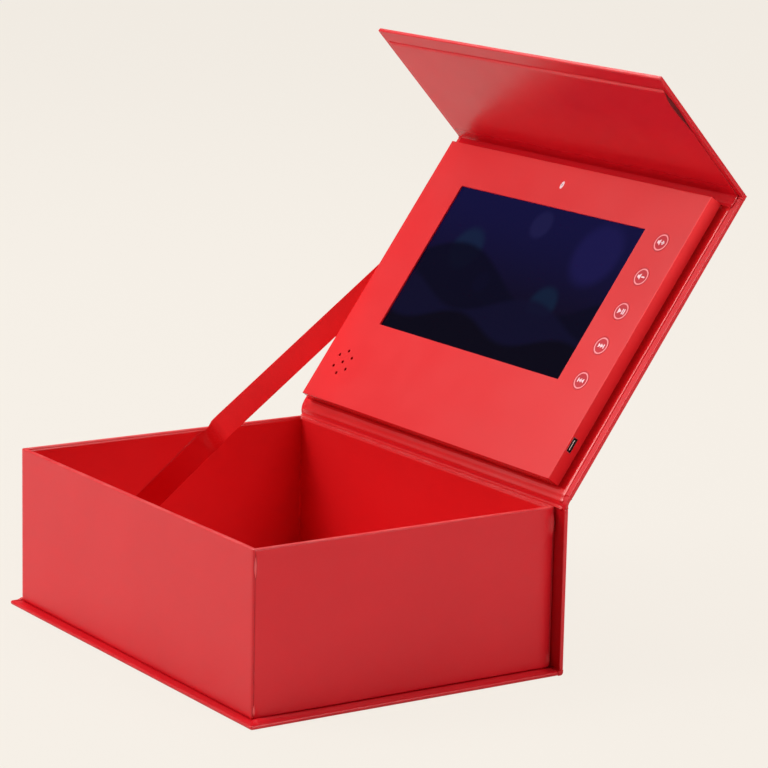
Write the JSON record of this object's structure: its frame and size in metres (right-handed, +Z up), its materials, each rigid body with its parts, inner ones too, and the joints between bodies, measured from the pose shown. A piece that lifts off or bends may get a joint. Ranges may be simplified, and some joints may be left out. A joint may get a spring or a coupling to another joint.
{
  "type": "video gift box",
  "caption": "Rigid book-style gift box in red paper; its lid carries a flat video module with screen, push buttons and speaker, and ends in a fold-in flap.",
  "frame": {"origin": "on the resting plane, midway along the lid's width and the tray's depth", "axes": "+Z up, +X along the folds towards the side with the charging port, -Y towards the front of the tray, where the flap closes"},
  "size_m": [0.2346, 0.267, 0.2779],
  "materials": {
    "cover_paper": "satin",
    "lining_paper": "satin",
    "magnet_steel": "satin",
    "ribbon": "satin",
    "module_card": "satin",
    "grey_card": "matte",
    "panel_frame": "satin",
    "panel_plastic": "gloss",
    "screen_glass": "gloss",
    "foam": "matte",
    "circuit_board": "satin",
    "black_plastic": "satin",
    "button_plastic": "satin",
    "sensor_lens": "gloss",
    "speaker_paper": "matte",
    "port_steel": "satin",
    "battery_wrap": "matte",
    "lead_rubber": "satin",
    "cable_film": "gloss"
  },
  "bodies": {
    "box": {"base_board": "cover_paper", "spine_board": "cover_paper", "base_hinge_strip": "cover_paper", "tray": "cover_paper", "tray_lining": "lining_paper", "tray_steel_discs": "magnet_steel", "ribbon_stay": "ribbon", "lid_hinge_strip": "cover_paper", "lid_hinge_liner": "lining_paper"},
    "lid": {"lid_board": "cover_paper", "flap_hinge_strip": "cover_paper", "flap_hinge_liner": "lining_paper", "lid_liner": "lining_paper", "speaker_magnet": "magnet_steel", "module_housing": "module_card", "module_back_card": "grey_card", "spacer_board": "grey_card", "screen_frame": "panel_frame", "backlight_panel": "panel_plastic", "screen_glass": "screen_glass", "window_gasket": "foam", "speaker_gasket": "foam", "board_pads": "foam", "button_board": "circuit_board", "sensor_board": "circuit_board", "main_board": "circuit_board", "tact_switches": "black_plastic", "main_board_chips": "black_plastic", "speaker_frame": "black_plastic", "light_sensor": "sensor_lens", "speaker_cone": "speaker_paper", "usb_port": "port_steel", "battery": "battery_wrap", "battery_leads": "lead_rubber", "speaker_leads": "lead_rubber", "sensor_leads": "lead_rubber", "screen_cable": "cable_film", "button_cable": "cable_film"},
    "flap": {"flap_board": "cover_paper", "flap_liner": "lining_paper", "flap_magnets": "magnet_steel"},
    "previous_button": {"previous_button": "button_plastic"},
    "next_button": {"next_button": "button_plastic"},
    "play_button": {"play_button": "button_plastic"},
    "volume_down_button": {"volume_down_button": "button_plastic"},
    "volume_up_button": {"volume_up_button": "button_plastic"}
  },
  "joints": [
    {"name": "lid_hinge", "type": "hinge", "parent": "box", "child": "lid", "pos_m": [0, 0.0834, 0.0823], "axis": [1, 0, 0], "range_deg": [0, 125.6], "deforming": ["ribbon_stay", "lid_hinge_strip", "lid_hinge_liner"]},
    {"name": "flap_hinge", "type": "hinge", "parent": "lid", "child": "flap", "pos_m": [0, 0.18114, 0.21882], "axis": [1, 0, 0], "range_deg": [-77.8, 12.2], "deforming": ["flap_hinge_strip", "flap_hinge_liner"]},
    {"name": "previous_press", "type": "slide", "parent": "lid", "child": "previous_button", "axis": [0, 0.8131, -0.5821], "range_m": [0, 0.0004], "stiffness_N_per_m": 800, "springref_m": -0.0002},
    {"name": "next_press", "type": "slide", "parent": "lid", "child": "next_button", "axis": [0, 0.8131, -0.5821], "range_m": [0, 0.0004], "stiffness_N_per_m": 800, "springref_m": -0.0002},
    {"name": "play_press", "type": "slide", "parent": "lid", "child": "play_button", "axis": [0, 0.8131, -0.5821], "range_m": [0, 0.0004], "stiffness_N_per_m": 800, "springref_m": -0.0002},
    {"name": "volume_down_press", "type": "slide", "parent": "lid", "child": "volume_down_button", "axis": [0, 0.8131, -0.5821], "range_m": [0, 0.0004], "stiffness_N_per_m": 800, "springref_m": -0.0002},
    {"name": "volume_up_press", "type": "slide", "parent": "lid", "child": "volume_up_button", "axis": [0, 0.8131, -0.5821], "range_m": [0, 0.0004], "stiffness_N_per_m": 800, "springref_m": -0.0002}
  ]
}
